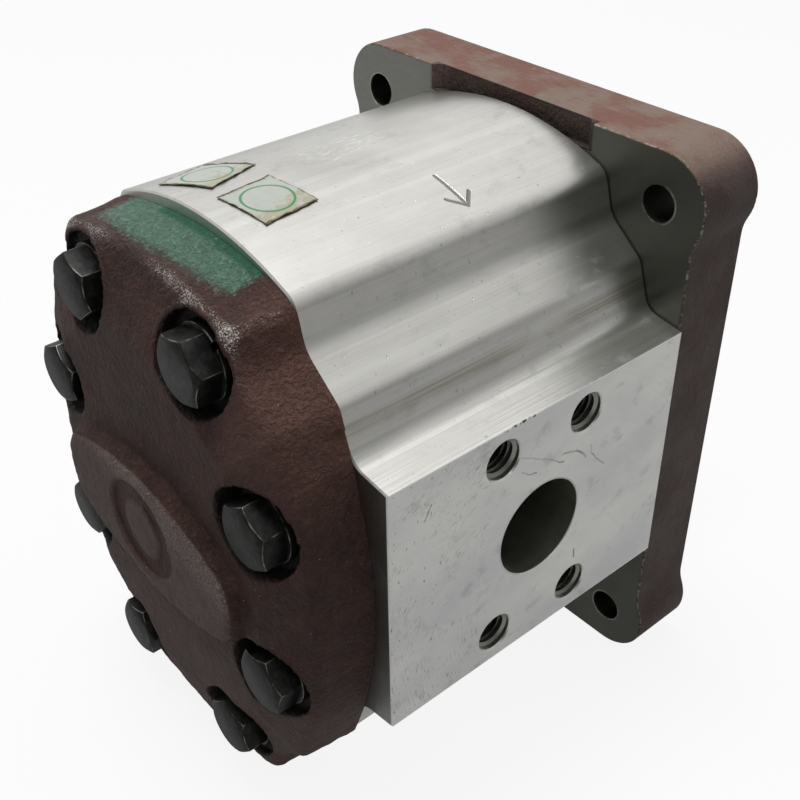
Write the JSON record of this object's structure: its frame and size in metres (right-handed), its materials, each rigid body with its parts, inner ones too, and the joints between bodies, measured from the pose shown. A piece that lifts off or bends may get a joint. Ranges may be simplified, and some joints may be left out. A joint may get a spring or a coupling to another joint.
{
  "type": "gear pump",
  "caption": "External gear pump: meshing spur gears in an aluminium housing with flanged side ports, a bolted iron rear cover, a four-lug mounting flange and a keyed taper shaft.",
  "frame": {"origin": "centre of the pilot at the mounting face, on the drive shaft's axis", "axes": "+Y along the drive shaft and out of the pump, +Z from the driven gear up to the drive gear, inlet port on +X and outlet port on -X"},
  "size_m": [0.124, 0.1887, 0.1538],
  "materials": {
    "red_brown_paint": "worn satin paint on cast iron",
    "maroon_paint": "worn satin paint on rough cast iron",
    "extruded_aluminium": "satin extruded",
    "black_steel": "black oxide",
    "ground_steel": "ground",
    "bright_steel": "zinc plated",
    "block_aluminium": "machined",
    "bush_bronze": "sintered bronze",
    "seal_rubber": "moulded",
    "backup_plastic": "moulded"
  },
  "bodies": {
    "case": {"front_flange": "red_brown_paint", "gear_housing": "extruded_aluminium", "rear_cover": "maroon_paint", "cover_bolts": "black_steel", "lock_washers": "black_steel", "front_bearing_block": "block_aluminium", "rear_bearing_block": "block_aluminium", "front_drive_bush": "bush_bronze", "front_driven_bush": "bush_bronze", "rear_drive_bush": "bush_bronze", "rear_driven_bush": "bush_bronze", "front_balance_seal": "seal_rubber", "rear_balance_seal": "seal_rubber", "front_backup_ring": "backup_plastic", "rear_backup_ring": "backup_plastic", "front_housing_seal": "seal_rubber", "rear_housing_seal": "seal_rubber", "front_dowels": "ground_steel", "rear_dowels": "ground_steel", "shaft_seal": "seal_rubber", "seal_retaining_ring": "black_steel"},
    "drive_shaft": {"drive_gear": "ground_steel", "shaft_key": "bright_steel", "shaft_washer": "bright_steel", "shaft_nut": "bright_steel"},
    "driven_shaft": {"driven_gear": "ground_steel"}
  },
  "joints": [
    {"name": "drive_spin", "type": "hinge", "parent": "case", "child": "drive_shaft", "pos_m": [0, 0, 0], "axis": [0, 1, 0], "continuous": true},
    {"name": "driven_spin", "type": "hinge", "parent": "case", "child": "driven_shaft", "pos_m": [0, 0, -0.0432], "axis": [0, 1, 0], "continuous": true}
  ],
  "couplings": [
    {"joint": "driven_spin", "follows": "drive_spin", "ratio": -1}
  ]
}
